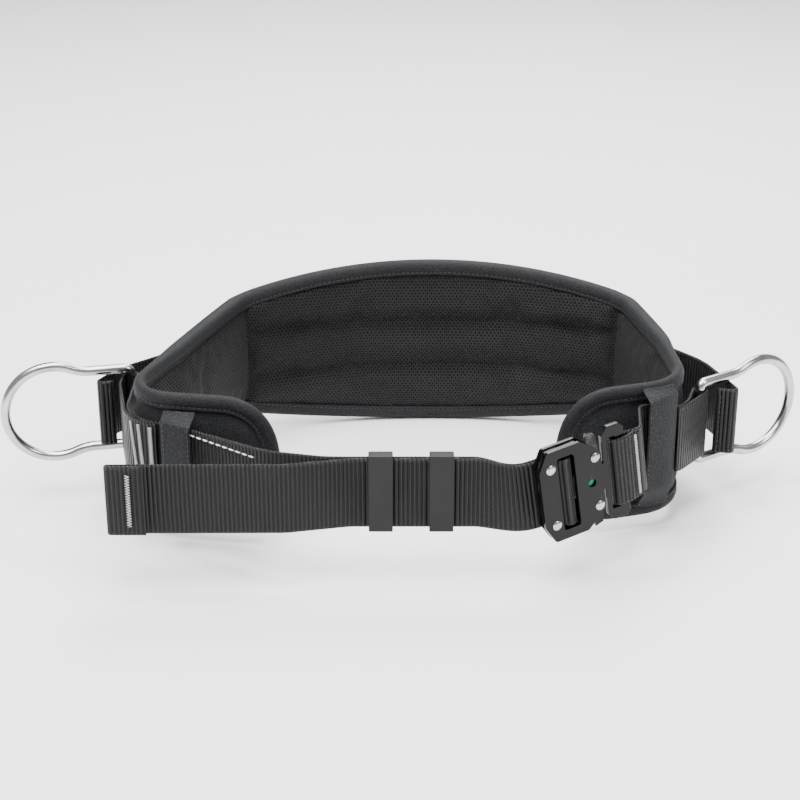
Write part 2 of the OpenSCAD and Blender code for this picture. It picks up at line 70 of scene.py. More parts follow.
pull = np.array(joints["adjuster_float"]["axis"])
through = np.array(joints["lever_upper_release"]["axis"])
pivots = [np.array(joints[n]["pos_m"]) for n in ("lever_upper_release", "lever_lower_release")]
PIVOT_U = 16 * MM
buckle_mid = (pivots[0] + pivots[1]) / 2 - PIVOT_U * pull
BUCKLE_TURN = math.degrees(math.atan2(pull[1], pull[0]))
BUCKLE_LEAN = math.degrees(math.asin(pull[2]))


# ---- paths in plan --------------------------------------------------------------------------------
def unit(v):
    return v / np.linalg.norm(v)


def turn(degrees):
    a = math.radians(degrees)
    return np.array([math.cos(a), math.sin(a)])


def smooth(t):
    t = np.clip(t, 0, 1)
    return t * t * (3 - 2 * t)


def arc(middle, radius, start, sweep, steps):
    return [middle + radius * turn(start + sweep * k / steps) for k in range(steps + 1)]


def half_angle(ua, ub):
    return math.acos(max(-1.0, min(1.0, float(ua @ ub)))) / 2


def arc_middle(a, p, b, radius):
    ua, ub = unit(a - p), unit(b - p)
    return p + unit(ua + ub) * radius / math.sin(half_angle(ua, ub))


def rounded(points, radii, steps=8):
    """A polyline with its corners rounded; a radius of 0 keeps the point."""
    points = [np.array(p, float) for p in points]
    out = []
    for i, (p, radius) in enumerate(zip(points, radii, strict=True)):
        if radius == 0:
            out.append(p)
            continue
        ua, ub = unit(points[i - 1] - p), unit(points[i + 1] - p)
        middle = arc_middle(points[i - 1], p, points[i + 1], radius)
        reach = radius / math.tan(half_angle(ua, ub))
        s, e = p + ua * reach - middle, p + ub * reach - middle
        sweep = math.degrees(math.atan2(s[0] * e[1] - s[1] * e[0], s @ e))
        out += arc(middle, radius, math.degrees(math.atan2(s[1], s[0])), sweep, steps)
    return out


def stations(points):
    steps = np.linalg.norm(np.diff(points, axis=0), axis=1)
    return np.concatenate([[0], np.cumsum(steps)])


class Path:
    """A smooth line in plan, read by its length from the start."""

    def __init__(self, points):
        points = np.array(points)
        keep = [0] + [i for i in range(1, len(points)) if np.linalg.norm(points[i] - points[i - 1]) > 1e-6]
        self.points = points[keep]
        self.st = stations(self.points)
        self.length = self.st[-1]

    def at(self, s):
        return np.stack([np.interp(s, self.st, self.points[:, k]) for k in (0, 1)], axis=-1)

    def heading(self, s):
        reach = 1.5 * MM
        ahead, behind = np.minimum(s + reach, self.length), np.maximum(s - reach, 0)
        d = self.at(ahead) - self.at(behind)
        return d / np.linalg.norm(d, axis=-1, keepdims=True)

    def left(self, s):
        h = self.heading(s)
        return np.stack([-h[..., 1], h[..., 0]], axis=-1)

    def nearest(self, q):
        s = np.linspace(0, self.length, 4000)
        return s[np.argmin(np.linalg.norm(self.at(s) - q, axis=1))]


def plan(points_mm):
    return [np.array(p, float) * MM + shift for p in points_mm]


# ---- the pad's middle line and outline ------------------------------------------------------------
BACK_W, BACK_BOW, FOLD_Y, BACK_X = 271, 28, 84, 22.5
fold_left, fold_right = plan([[BACK_X - BACK_W / 2, FOLD_Y], [BACK_X + BACK_W / 2, FOLD_Y]])
back_r = ((BACK_W / 2) ** 2 + BACK_BOW**2) / (2 * BACK_BOW)
back_half = math.degrees(math.asin(BACK_W / 2 / back_r))
(back_middle,) = plan([[BACK_X, FOLD_Y + BACK_BOW - back_r]])
back_arc = arc(back_middle, back_r * MM, 90 + back_half, -2 * back_half, 24)[1:-1]
tip_left, corner_left, wing_right, corner_right, tip_right = plan(
    [[-74, -90], [-173, -76], [174.5, 10], [180, -57], [97, -81]]
)
CORNER_LEFT_R, CORNER_RIGHT_R, FOLD_R, WING_R = 24 * MM, 30 * MM, 22 * MM, 90 * MM
pad_points = [tip_left, corner_left, fold_left, *back_arc, fold_right, wing_right, corner_right, tip_right]
pad_radii = [0, CORNER_LEFT_R, FOLD_R, *[0] * len(back_arc), FOLD_R, WING_R, CORNER_RIGHT_R, 0]
pad_line = Path(rounded(pad_points, pad_radii, 16))
s_fold_left, s_fold_right = pad_line.nearest(fold_left), pad_line.nearest(fold_right)
s_corner_left, s_corner_right = pad_line.nearest(corner_left), pad_line.nearest(corner_right)
s_back = (s_fold_left + s_fold_right) / 2
pad_low, pad_high = span("binding_back")
HALF_BACK = (pad_high[2] - pad_low[2]) / 2
HALF_FOLD, HALF_TONGUE, TONGUE_DROP = 45 * MM, 46 * MM, 7 * MM
TONGUE_R, TIP_POWER = 40 * MM, 2.4
BINDING_W, TAPE_W = 10 * MM, 22 * MM
FOAM_BACK, FOAM_TONGUE = 5 * MM, 3 * MM
CHANNEL = 18 * MM


def to_tip(s):
    return np.minimum(s, pad_line.length - s)


def on_side(s):
    end = pad_line.length - TONGUE_R
    left = smooth((s_fold_left - s) / (s_fold_left - TONGUE_R))
    right = smooth((s - s_fold_right) / (end - s_fold_right))
    return np.where(s < s_back, left, right)


def full_height(s):
    across = np.minimum(1, np.abs(s - s_back) / (s_fold_right - s_back))
    side = HALF_FOLD + (HALF_TONGUE - HALF_FOLD) * on_side(s)
    return side + (HALF_BACK - HALF_FOLD) * (1 - across**2)


def half_height(s):
    t = np.clip(to_tip(s) / TONGUE_R, 0, 1)
    return full_height(s) * (1 - (1 - t) ** TIP_POWER) ** (1 / TIP_POWER)


def pad_z(s):
    return z_mid - TONGUE_DROP * on_side(s)


def foam_half(s):
    return FOAM_TONGUE + (FOAM_BACK - FOAM_TONGUE) * smooth((to_tip(s) - 120 * MM) / (40 * MM))


def on_pad(s, rise, out):
    """Points on the pad: rise is measured up from its middle line, out away from the wearer."""
    s, rise, out = np.broadcast_arrays(np.asarray(s, float), rise, out)
    inside = np.clip(s, 0, pad_line.length)
    flat = pad_line.at(inside) + pad_line.left(inside) * out[..., None]
    flat = flat + pad_line.heading(inside) * (s - inside)[..., None]
    return np.concatenate([flat, (pad_z(inside) + rise)[..., None]], axis=-1)


# ---- webbing paths --------------------------------------------------------------------------------
WIRE_R, LOOP_CLEAR = 3.25 * MM, 0.42 * MM
loop_r = WIRE_R + LOOP_CLEAR + WEB_T / 2
middle_left = arc_middle(tip_left, corner_left, fold_left, CORNER_LEFT_R)
middle_right = arc_middle(wing_right, corner_right, tip_right, CORNER_RIGHT_R)
keeper_low, keeper_high = span("keeper_inner")
strap_y = (keeper_low[1] + keeper_high[1]) / 2 + LAYER / 2
tail_low = span("front_web")[0]
tail_x = bar_left[0] + 5.5 * MM
tail_y = tail_low[1] + LAYER + WEB_T / 2
BAR_U, WRAP_R = -4 * MM, 3.9 * MM
TAIL_LEG = 5.65 * MM
MAIN_LEG = TAIL_LEG + LAYER
FRAME_BAR = [32 * MM, 38.5 * MM]
FRAME_LEG = 3.02 * MM
HEM = 21 * MM


def in_buckle(u, y):
    """A place in plan, u along the buckle's pull and y through its plates."""
    return (buckle_mid + u * pull + y * through)[:2]


def strap(x_mm, y_mm):
    return np.array([x_mm * MM + shift[0], y_mm * MM + strap_y])


def front_web_line():
    round_left = CORNER_LEFT_R + 8.1 * MM
    out_leg = np.array([bar_left[0] - loop_r - 0.2 * MM, bar_left[1] - 15 * MM])
    in_leg = np.array([bar_left[0] + loop_r, bar_left[1] - 31 * MM])
    (aim,) = plan([[-80, -130]])
    return Path([
        *arc(middle_left, round_left + LAYER, 252, -66, 16), out_leg,
        *arc(bar_left[:2], loop_r, 180, -180, 12), in_leg,
        *arc(middle_left, round_left, 181, 70, 16),
        *rounded([middle_left + round_left * turn(252), middle_left + round_left * turn(262), aim,
                  strap(-46, 0.5), strap(-34, 0), strap(46, 0), in_buckle(-30 * MM, MAIN_LEG),
                  in_buckle(BAR_U + WRAP_R, MAIN_LEG), in_buckle(BAR_U + WRAP_R, 0)],
                 [0, 28 * MM, 60 * MM, 40 * MM, 30 * MM, 30 * MM, 40 * MM, 2.4 * MM, 0]),
        *arc(in_buckle(BAR_U, 0), WRAP_R, BUCKLE_TURN, -180, 10),
        *rounded([in_buckle(BAR_U - WRAP_R, 0), in_buckle(BAR_U - WRAP_R, TAIL_LEG),
                  in_buckle(-28 * MM, TAIL_LEG), strap(46, 0) - [0, LAYER], strap(-30, 0) - [0, LAYER],
                  [shift[0] - 68 * MM, tail_y + 0.4 * MM], [tail_x, tail_y]],
                 [0, 1.8 * MM, 40 * MM, 30 * MM, 30 * MM, 40 * MM, 0]),
        *arc(np.array([tail_x, tail_y - LAYER / 2]), LAYER / 2, 90, 180, 8),
        np.array([tail_x + HEM, tail_y - LAYER]),
    ])


def link_web_line():
    round_right, leaves = CORNER_RIGHT_R + 8.8 * MM, -36.5
    (bend,) = plan([[150, -80]])
    return Path([
        *arc(middle_right, round_right + LAYER, -49, 49 + leaves, 8),
        *arc(bar_right[:2], loop_r, leaves, 180 - leaves, 14),
        *arc(middle_right, round_right, -12, -56, 14),
        *rounded([middle_right + round_right * turn(-72), bend, in_buckle(52 * MM, LAYER / 2),
                  in_buckle(46 * MM, LAYER / 2), in_buckle(FRAME_BAR[1] + 0.5 * MM, FRAME_LEG),
                  in_buckle(FRAME_BAR[0], FRAME_LEG)],
                 [0, 10 * MM, 6 * MM, 0, 0, 0]),
        *arc(in_buckle(FRAME_BAR[0] - 0.4 * MM, 0), FRAME_LEG, BUCKLE_TURN + 90, 180, 10),
        in_buckle(FRAME_BAR[0], -FRAME_LEG), in_buckle(FRAME_BAR[1] + 0.5 * MM, -FRAME_LEG),
        in_buckle(45 * MM, -LAYER / 2), in_buckle(49 * MM, -LAYER / 2),
    ])


def back_web_line():
    off = 9.5 * MM
    line = [corner_left, fold_left, *back_arc, fold_right, wing_right]
    shifted = []
    for before, p, after in zip(line, line[1:], line[2:], strict=False):
        a, b = unit(p - before), unit(after - p)
        na, nb = np.array([-a[1], a[0]]), np.array([-b[1], b[0]])
        shifted.append(p + (na + nb) * off / (1 + na @ nb))
    start = plan([[-187, -20], [-200, -26], [-187, 1], [-146, 40]])
    end = plan([[181, 44], [203, 15], [219, -37], [204, -33]])
    radii = [0, 3, 40, 60, 31, *[0] * len(back_arc), 31, 60, 60, 3, 0]
    return Path(rounded([*start, *shifted, *end], [r * MM for r in radii]))


def along_buckle(p):
    return (p - buckle_mid[:2]) @ turn(BUCKLE_TURN) / math.cos(math.radians(BUCKLE_LEAN))


def follows(p):
    u = along_buckle(p) / MM
    return np.where(u < 0, smooth((u + 54) / 30), 1 - smooth((u - 47) / 60))


class Web:
    """A band of webbing on edge along a path; at the front it follows the buckle's lean."""

    def __init__(self, path, at_front=True):
        self.path, self.at_front = path, at_front

    def spot(self, s, across, out):
        """Points at station s, across the band from its middle, out to the left of travel."""
        s, across, out = np.broadcast_arrays(np.asarray(s, float), across, out)
        p, left = self.path.at(s), self.path.left(s)
        f = follows(p) if self.at_front else np.zeros(p.shape[:-1])
        lean = np.radians(f * BUCKLE_LEAN)
        pull_flat = turn(BUCKLE_TURN)
        rise = f * (buckle_mid[2] - z_mid + along_buckle(p) * math.sin(math.radians(BUCKLE_LEAN)))
        flat = p + left * out[..., None] - pull_flat * (np.sin(lean) * across)[..., None]
        return np.concatenate([flat, (z_mid + rise + np.cos(lean) * across)[..., None]], axis=-1)


# ---- meshes ---------------------------------------------------------------------------------------
def made(name, points, faces, uv, materials, body="belt"):
    """A piece from points and faces; uv holds one pair for each point, or is None."""
    mesh = bpy.data.meshes.new(name)
    mesh.from_pydata([tuple(p) for p in points], [], [tuple(f) for f in faces])
    if uv is not None:
        layer = mesh.uv_layers.new(name="UVMap")
        corners = np.zeros(len(mesh.loops), int)
        mesh.loops.foreach_get("vertex_index", corners)
        layer.data.foreach_set("uv", np.asarray(uv, np.float32)[corners].ravel())
    mesh.polygons.foreach_set("use_smooth", [True] * len(mesh.polygons))
    piece = bpy.data.objects.new(name, mesh)
    bpy.context.scene.collection.objects.link(piece)
    for m in materials:
        mesh.materials.append(m)
    if body:
        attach(piece, body)
    return piece


def grid_faces(rows, columns, wrap_rows=False, wrap_columns=False, first=0, flip=False):
    faces = []
    for i in range(rows if wrap_rows else rows - 1):
        for j in range(columns if wrap_columns else columns - 1):
            a, b = i * columns, ((i + 1) % rows) * columns
            k = (j + 1) % columns
            quad = (first + a + j, first + b + j, first + b + k, first + a + k)
            faces.append(quad[::-1] if flip else quad)
    return faces


def lofted(rings, wrap_rings=False):
    """Points and faces of rings joined in order, each a closed loop; the ends are capped."""
    rings = np.asarray(rings)
    n, m = rings.shape[:2]
    faces = grid_faces(n, m, wrap_rings, True)
    if not wrap_rings:
        faces += [tuple(range(m)), tuple((n - 1) * m + j for j in reversed(range(m)))]
    return rings.reshape(-1, 3), faces


def slab_faces(rows, columns):
    """A grid, the same grid behind it, and the band that closes them round their edge."""
    far = rows * columns
    inner = grid_faces(rows, columns)
    faces = inner + grid_faces(rows, columns, first=far, flip=True)
    rim = [i * columns for i in range(rows)] + [far - columns + j for j in range(1, columns)]
    rim += [i * columns + columns - 1 for i in reversed(range(rows - 1))] + list(range(columns - 2, 0, -1))
    faces += [(a, b, b + far, a + far)[::-1] for a, b in zip(rim, rim[1:] + rim[:1], strict=True)]
    return faces, len(inner)


def soften(piece):
    """One level of subdivision."""
    finer = piece.modifiers.new("finer", "SUBSURF")
    finer.levels = finer.render_levels = 1


def tubes(name, lines, radius, material, sides=6):
    """Thin round threads along 3-D polylines, as one piece."""
    points, faces = [], []
    for line in lines:
        line = np.asarray(line, float)
        d = np.gradient(line, axis=0)
        d /= np.linalg.norm(d, axis=1, keepdims=True)
        side = np.cross(d, [0, 0, 1])
        flat = np.linalg.norm(side, axis=1) < 0.2
        side[flat] = np.cross(d[flat], [1, 0, 0])
        side /= np.linalg.norm(side, axis=1, keepdims=True)
        up = np.cross(side, d)
        ends = np.ones(len(line))
        ends[[0, -1]] = 0.35
        rings = np.stack([
            line + (side * math.cos(a) + up * math.sin(a)) * radius * ends[:, None]
            for a in np.linspace(0, 2 * math.pi, sides, endpoint=False)
        ], axis=1)
        p, f = lofted(rings)
        faces += [tuple(len(points) + i for i in face) for face in f]
        points += list(p)
    return made(name, points, faces, None, [material])


def dashes(place, length, pitch, share=0.7):
    """Stitch polylines along place(distance, lift), each humped so that its ends dive in."""
    lines = []
    for k in range(int(length / pitch)):
        s = k * pitch + np.linspace(0, share * pitch, 5)
        lift = (1 - np.linspace(-1, 1, 5) ** 2) * 0.35 * MM - 0.07 * MM
        lines.append(place(s, lift))
    return lines


# ---- materials ------------------------------------------------------------------------------------
class Shader:
    """A node material with short calls for the nodes used here."""

    def __init__(self, name, **values):
        self.material = bpy.data.materials.new(name)
        self.material.use_nodes = True
        self.tree = self.material.node_tree
        self.main = self.tree.nodes["Principled BSDF"]
        for socket, value in values.items():
            self.main.inputs[socket.replace("_", " ")].default_value = value

    def node(self, kind, **settings):
        node = self.tree.nodes.new(kind)
        for key, value in settings.items():
            setattr(node, key, value)
        return node

    def link(self, a, b):
        self.tree.links.new(a, b)

    def math(self, operation, a, b=0.0, c=0.0):
        node = self.node("ShaderNodeMath", operation=operation)
        for socket, value in zip(node.inputs, (a, b, c), strict=False):
            if isinstance(value, (int, float)):
                socket.default_value = value
            else:
                self.link(value, socket)
        return node.outputs[0]

    def uv(self):
        split = self.node("ShaderNodeSeparateXYZ")
        self.link(self.node("ShaderNodeUVMap", uv_map="UVMap").outputs[0], split.inputs[0])
        return split.outputs[0], split.outputs[1]

    def wave(self, value, pitch):
        """0 to 1, once each pitch."""
        turned = self.math("MULTIPLY", value, 2 * math.pi / pitch)
        return self.math("MULTIPLY_ADD", self.math("SINE", turned), 0.5, 0.5)

    def noise(self, scale, detail, roughness=0.5):
        node = self.node("ShaderNodeTexNoise")
        node.inputs["Scale"].default_value = scale
        node.inputs["Detail"].default_value = detail
        node.inputs["Roughness"].default_value = roughness
        self.link(self.node("ShaderNodeTexCoord").outputs["Object"], node.inputs["Vector"])
        return node.outputs[0]

    def ramp(self, value, low, high, start=0.0, end=1.0):
        """A colour or value between two others as value goes from start to end."""
        node = self.node("ShaderNodeMapRange")
        for k, number in enumerate((start, end)):
            node.inputs[1 + k].default_value = number
        self.link(value, node.inputs[0])
        if isinstance(low, (int, float)):
            node.inputs[3].default_value, node.inputs[4].default_value = low, high
            return node.outputs[0]
        mix = self.node("ShaderNodeMix", data_type="RGBA")
        self.link(node.outputs[0], mix.inputs[0])
        for socket, colour in ((mix.inputs[6], low), (mix.inputs[7], high)):
            if isinstance(colour, tuple):
                socket.default_value = (*colour, 1)
            else:
                self.link(colour, socket)
        return mix.outputs[2]

    def bump(self, height, distance, strength, before=None):
        node = self.node("ShaderNodeBump")
        node.inputs["Strength"].default_value = strength
        node.inputs["Distance"].default_value = distance
        self.link(height, node.inputs["Height"])
        if before is not None:
            self.link(before, node.inputs["Normal"])
        return node.outputs[0]

    def use(self, colour, roughness, normal=None):
        for socket, value in (("Base Color", colour), ("Roughness", roughness), ("Normal", normal)):
            if value is not None:
                self.link(value, self.main.inputs[socket])
        return self.material


def webbing_material():
    """Heavy webbing: ribs across its width, plain selvedges and a fine twill between, with painted shade in
    the grooves and a painted highlight on the crests.
    """
    m = Shader("webbing", Sheen_Weight=0.02, Sheen_Roughness=0.35, Specular_IOR_Level=0.25)
    u, v = m.uv()
    rib = m.wave(u, 2.6 * MM)
    yarn = m.wave(m.math("MULTIPLY_ADD", u, 0.5, v), 1.1 * MM)
    edge = m.ramp(m.math("ABSOLUTE", v), 1.0, 0.35, WEB_W / 2 - 2.2 * MM, WEB_W / 2 - 1.4 * MM)
    height = m.math("MULTIPLY_ADD", yarn, 0.3, m.math("MULTIPLY", rib, edge))
    dust = m.noise(60, 3)
    # Painted shade and highlight: the colour follows the ribs and yarns, darker in the grooves between them
    # and lighter on their crests.
    body = m.math("MULTIPLY", rib, m.ramp(yarn, 0.55, 1.0))
    dark = m.ramp(body, (0.0002, 0.0002, 0.0003), (0.03, 0.03, 0.033), 0.42, 1.0)
    colour = m.ramp(dust, dark, (0.02, 0.02, 0.022), 0.55, 1.8)
    return m.use(colour, m.ramp(dust, 0.32, 0.46), m.bump(height, 0.9 * MM, 1.0))


def mesh_material():
    """Spacer mesh: staggered oval holes in a knitted black face; the holes carry painted shade and their
    rims a painted highlight.
    """
    m = Shader("spacer_mesh", Sheen_Weight=0.02, Sheen_Roughness=0.4, Specular_IOR_Level=0.2)
    u, v = m.uv()
    pitch_u, pitch_v = 2.8 * MM, 2.0 * MM
    row = m.math("DIVIDE", v, pitch_v)
    odd = m.math("MODULO", m.math("FLOOR", m.math("ADD", row, 200.0)), 2.0)
    column = m.math("MULTIPLY_ADD", odd, 0.5, m.math("DIVIDE", u, pitch_u))
    x = m.math("FRACT", m.math("ADD", column, 400.0))
    y = m.math("FRACT", m.math("ADD", row, 200.0))
    dx = m.math("MULTIPLY", m.math("SUBTRACT", x, 0.5), pitch_u / (0.7 * MM))
    dy = m.math("MULTIPLY", m.math("SUBTRACT", y, 0.5), pitch_v / (0.85 * MM))
    near = m.math("SQRT", m.math("ADD", m.math("MULTIPLY", dx, dx), m.math("MULTIPLY", dy, dy)))
    face = m.ramp(near, 0.0, 1.0, 0.75, 1.15)
    yarn = m.wave(m.math("MULTIPLY_ADD", u, 1.0, v), 0.7 * MM)
    height = m.math("MULTIPLY_ADD", yarn, 0.15, face)
    shade = m.noise(25, 2)
    field = m.ramp(shade, (0.003, 0.003, 0.0034), (0.0065, 0.0065, 0.007), 0.3, 0.7)
    # Painted highlight: the knit is painted lighter next to each hole's rim and fades to the field further
    # out.
    knit_rim_highlight = m.ramp(near, (0.027, 0.027, 0.029), field, 1.1, 1.6)
    # Painted shade: the holes are painted near-black for the shade inside them.
    colour = m.ramp(face, (0.0002, 0.0002, 0.0002), knit_rim_highlight)
    return m.use(colour, m.ramp(face, 0.95, 0.4), m.bump(height, 0.9 * MM, 1.0))


def shell_material():
    """Dense smooth cover cloth with a very fine weave."""
    m = Shader("shell_fabric", Sheen_Weight=0.04, Sheen_Roughness=0.4, Specular_IOR_Level=0.1)
    u, v = m.uv()
    weave = m.math("MULTIPLY", m.wave(u, 0.9 * MM), m.wave(v, 0.9 * MM))
    soft, fuzz = m.noise(18, 4), m.noise(1100, 3)
    nap = m.ramp(fuzz, (0.004, 0.0041, 0.0046), (0.04, 0.041, 0.045), 0.3, 0.75)
    colour = m.ramp(soft, nap, (0.018, 0.0183, 0.0203), 0.3, 1.2)
    slub = m.bump(soft, 1.2 * MM, 0.35)
    return m.use(colour, m.ramp(soft, 0.6, 0.72), m.bump(weave, 0.2 * MM, 0.8, slub))


def binding_material():
    """Folded tape: fine ribs along its run."""
    m = Shader("binding_tape", Sheen_Weight=0.04, Sheen_Roughness=0.4, Specular_IOR_Level=0.12)
    u, v = m.uv()
    rib = m.wave(v, 0.9 * MM)
    cross = m.wave(u, 1.3 * MM)
    soft, fuzz = m.noise(35, 3), m.noise(1300, 3)
    nap = m.ramp(fuzz, (0.003, 0.003, 0.0034), (0.032, 0.0325, 0.0355), 0.3, 0.75)
    colour = m.ramp(soft, nap, (0.014, 0.0142, 0.0156), 0.3, 1.2)
    height = m.math("MULTIPLY_ADD", cross, 0.35, rib)
    return m.use(colour, m.ramp(soft, 0.5, 0.68), m.bump(height, 0.15 * MM, 0.7))


def thread_material(name, low, high):
    m = Shader(name, Sheen_Weight=0.05, Specular_IOR_Level=0.4)
    twist = m.noise(1400, 2)
    return m.use(m.ramp(twist, low, high, 0.3, 0.7), m.ramp(twist, 0.5, 0.75), m.bump(twist, 0.1 * MM, 0.5))


def zinc_material():
    """Bright zinc plating with soft cloudy variation and fine handling marks."""
    m = Shader("zinc_plate", Metallic=1.0)
    cloud, fine = m.noise(45, 3), m.noise(700, 4)
    colour = m.ramp(cloud, (0.34, 0.35, 0.37), (0.6, 0.61, 0.63), 0.3, 0.75)
    rough = m.math("MULTIPLY_ADD", fine, 0.1, m.ramp(cloud, 0.12, 0.24))
    return m.use(colour, rough, m.bump(fine, 0.05 * MM, 0.25))


def black_steel_material():
    """Black coating, worn thin where edges are proud."""
    m = Shader("black_coating", Specular_IOR_Level=0.2)
    fine, patch = m.noise(900, 3), m.noise(130, 4, roughness=0.7)
    proud = m.node("ShaderNodeNewGeometry").outputs["Pointiness"]
    worn = m.math("MULTIPLY", m.ramp(proud, 0.0, 1.0, 0.53, 0.6), m.ramp(patch, 0.0, 1.0, 0.45, 0.75))
    colour = m.ramp(worn, (0.002, 0.002, 0.0023), (0.09, 0.09, 0.095))
    return m.use(colour, m.ramp(fine, 0.1, 0.22), m.bump(fine, 0.03 * MM, 0.2))


def plastic_material(name, low, high, rough=0.42):
    """Moulded plastic with a light spark-eroded grain."""
    m = Shader(name, Specular_IOR_Level=0.2)
    grain, cloud = m.noise(1500, 2), m.noise(50, 2)
    return m.use(m.ramp(cloud, low, high), m.ramp(grain, rough - 0.06, rough + 0.08),
                 m.bump(grain, 0.06 * MM, 0.35))


MESH, SHELL, BINDING, WEBBING = mesh_material(), shell_material(), binding_material(), webbing_material()
DARK_THREAD = thread_material("dark_thread", (0.03, 0.03, 0.033), (0.07, 0.07, 0.075))
WHITE_THREAD = thread_material("white_thread", (0.82, 0.82, 0.8), (1.0, 1.0, 0.98))
ZINC, BLACK_STEEL = zinc_material(), black_steel_material()
KEEPER = plastic_material("keeper_plastic", (0.008, 0.008, 0.0085), (0.014, 0.014, 0.015))
GREEN = plastic_material("green_plastic", (0.01, 0.3, 0.11), (0.02, 0.42, 0.17), 0.3)


# ---- pad ------------------------------------------------------------------------------------------
def hump(x, power=2.6):
    """1 in the middle of a channel and 0 at its seams, x from -1 to 1."""
    return np.clip(1 - np.abs(x) ** power, 0, 1) ** 0.6


def puffed(s, rise):
    """How full the quilted face is at a point: 0 in a seam and 1 on a crown."""
    top = half_height(s) - BINDING_W + 1.5 * MM
    on_back = smooth((s - s_fold_left) / (6 * MM)) * smooth((s_fold_right - s) / (6 * MM))
    channels = np.where(
        np.abs(rise) < CHANNEL,
        hump(rise / CHANNEL),
        hump((np.abs(rise) - (CHANNEL + top) / 2) / np.maximum((top - CHANNEL) / 2, 1 * MM)),
    )
    whole = hump(rise / np.maximum(top, 1 * MM), 3.2)
    folds = [np.exp(-(((s - fold) / (3.5 * MM)) ** 2)) for fold in (s_fold_left, s_fold_right)]
    crease = 1 - 0.8 * sum(folds)
    return np.clip((on_back * channels + (1 - on_back) * whole) * crease, 0, 1)


# Depth of the seams as a share of the foam, height of the crowns, and the cloth's free swell.
SEAM_SHARE, CROWN, MOST_SWELL = 0.3, 7.2 * MM, 1.6 * MM


def swell(piece, held, cap):
    """Inflates a piece as cloth between the points that are held, moving none further than cap."""
    mesh = piece.data
    before = np.array([v.co for v in mesh.vertices])
    pins = piece.vertex_groups.new(name="held")
    for share in np.unique(np.round(held, 1)):
        pins.add([int(i) for i in np.flatnonzero(np.round(held, 1) == share)], float(share), "REPLACE")
    cloth = piece.modifiers.new("cloth", "CLOTH")
    cloth.settings.vertex_group_mass = "held"
    cloth.settings.use_pressure = True
    cloth.settings.uniform_pressure_force = 4.0
    cloth.settings.shrink_min = -0.012
    cloth.settings.mass = 0.3
    cloth.settings.quality = 6
    cloth.settings.effector_weights.gravity = 0.0
    cloth.point_cache.frame_start, cloth.point_cache.frame_end = 1, 20
    for number in range(1, 21):
        bpy.context.scene.frame_set(number)
    done = piece.evaluated_get(bpy.context.evaluated_depsgraph_get()).to_mesh()
    after = np.array([v.co for v in done.vertices])
    piece.modifiers.remove(cloth)
    bpy.context.scene.frame_set(1)
    move = after - before
    size = np.linalg.norm(move, axis=1, keepdims=True)
    move *= np.minimum(1, cap / np.maximum(size, 1e-9))
    mesh.vertices.foreach_set("co", (before + move).astype(np.float32).ravel())
    mesh.update()


def pad_body():
    """The pad as one closed form: quilted mesh inside, smooth cover cloth outside."""
    step = 4.2 * MM
    s = np.linspace(4 * MM, pad_line.length - 4 * MM, int(pad_line.length / step))
    share = np.sin(np.linspace(-1, 1, 33) * math.pi / 2) * 0.35 + np.linspace(-1, 1, 33) * 0.65
    top = half_height(s) - 4 * MM
    rise = share[None, :] * top[:, None]
    stretch = np.broadcast_to(s[:, None], rise.shape)
    full = puffed(stretch, rise)
    half = np.broadcast_to(foam_half(s)[:, None], rise.shape)
    inner = on_pad(stretch, rise, -half * SEAM_SHARE - CROWN * half / FOAM_BACK * full)
    from_rim = half_height(s)[:, None] - np.abs(rise)
    tip = to_tip(stretch)
    raised = smooth((np.minimum(from_rim, tip) - 9 * MM) / (14 * MM))
    outer = on_pad(stretch, rise, half * 0.72 + raised * (half * 0.28 + 1.2 * MM))
    rows, columns = rise.shape
    points = np.concatenate([inner.reshape(-1, 3), outer.reshape(-1, 3)])
    faces, inner_count = slab_faces(rows, columns)
    uv = np.stack([stretch, rise], axis=-1).reshape(-1, 2)
    piece = made("pad_body", points, faces, np.concatenate([uv, uv]), [MESH, SHELL])
    index = np.ones(len(faces), int)
    index[:inner_count] = 0
    piece.data.polygons.foreach_set("material_index", index)
    held = np.concatenate([np.clip(1 - full.ravel() * 2, 0, 1), np.ones(rows * columns)])
    swell(piece, held, MOST_SWELL)
    soften(piece)
    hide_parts("foam_back_upper", "foam_back_middle", "foam_back_lower", "back_stiffener",
                "foam_wing_left", "foam_wing_right", "foam_tongue_left", "foam_tongue_right",
                "mesh_liner", "outer_shell")


def perimeter():
    """The pad's outline as stations and rises, with even steps round the tongues' ends."""
    round_end = np.linspace(0, math.pi / 2, 22)
    near = TONGUE_R * (1 - np.cos(round_end) ** (2 / TIP_POWER))
    straight = np.arange(TONGUE_R + 4 * MM, pad_line.length - TONGUE_R - 2 * MM, 4 * MM)
    s = np.concatenate([near, straight, pad_line.length - near[::-1]])
    upper = np.stack([s, half_height(s)], axis=1)
    lower = np.stack([s, -half_height(s)], axis=1)[::-1]
    loop = np.concatenate([upper, lower[1:-1]])
    gap = np.linalg.norm(np.roll(loop, -1, axis=0) - loop, axis=1)
    loop = loop[gap > 0.4 * MM]
    closed = np.vstack([loop, loop[:1]])
    st = stations(closed)
    even = np.linspace(0, st[-1], int(st[-1] / (3.6 * MM)), endpoint=False)
    return np.stack([np.interp(even, st, closed[:, k]) for k in (0, 1)], axis=1), even, st[-1]


def inward_of(loop):
    along = np.roll(loop, -1, axis=0) - np.roll(loop, 1, axis=0)
    along /= np.linalg.norm(along, axis=1, keepdims=True)
    inward = np.stack([along[:, 1], -along[:, 0]], axis=1)
    for _ in range(3):
        inward = (np.roll(inward, 1, axis=0) + inward + np.roll(inward, -1, axis=0)) / 3
    return inward / np.linalg.norm(inward, axis=1, keepdims=True)


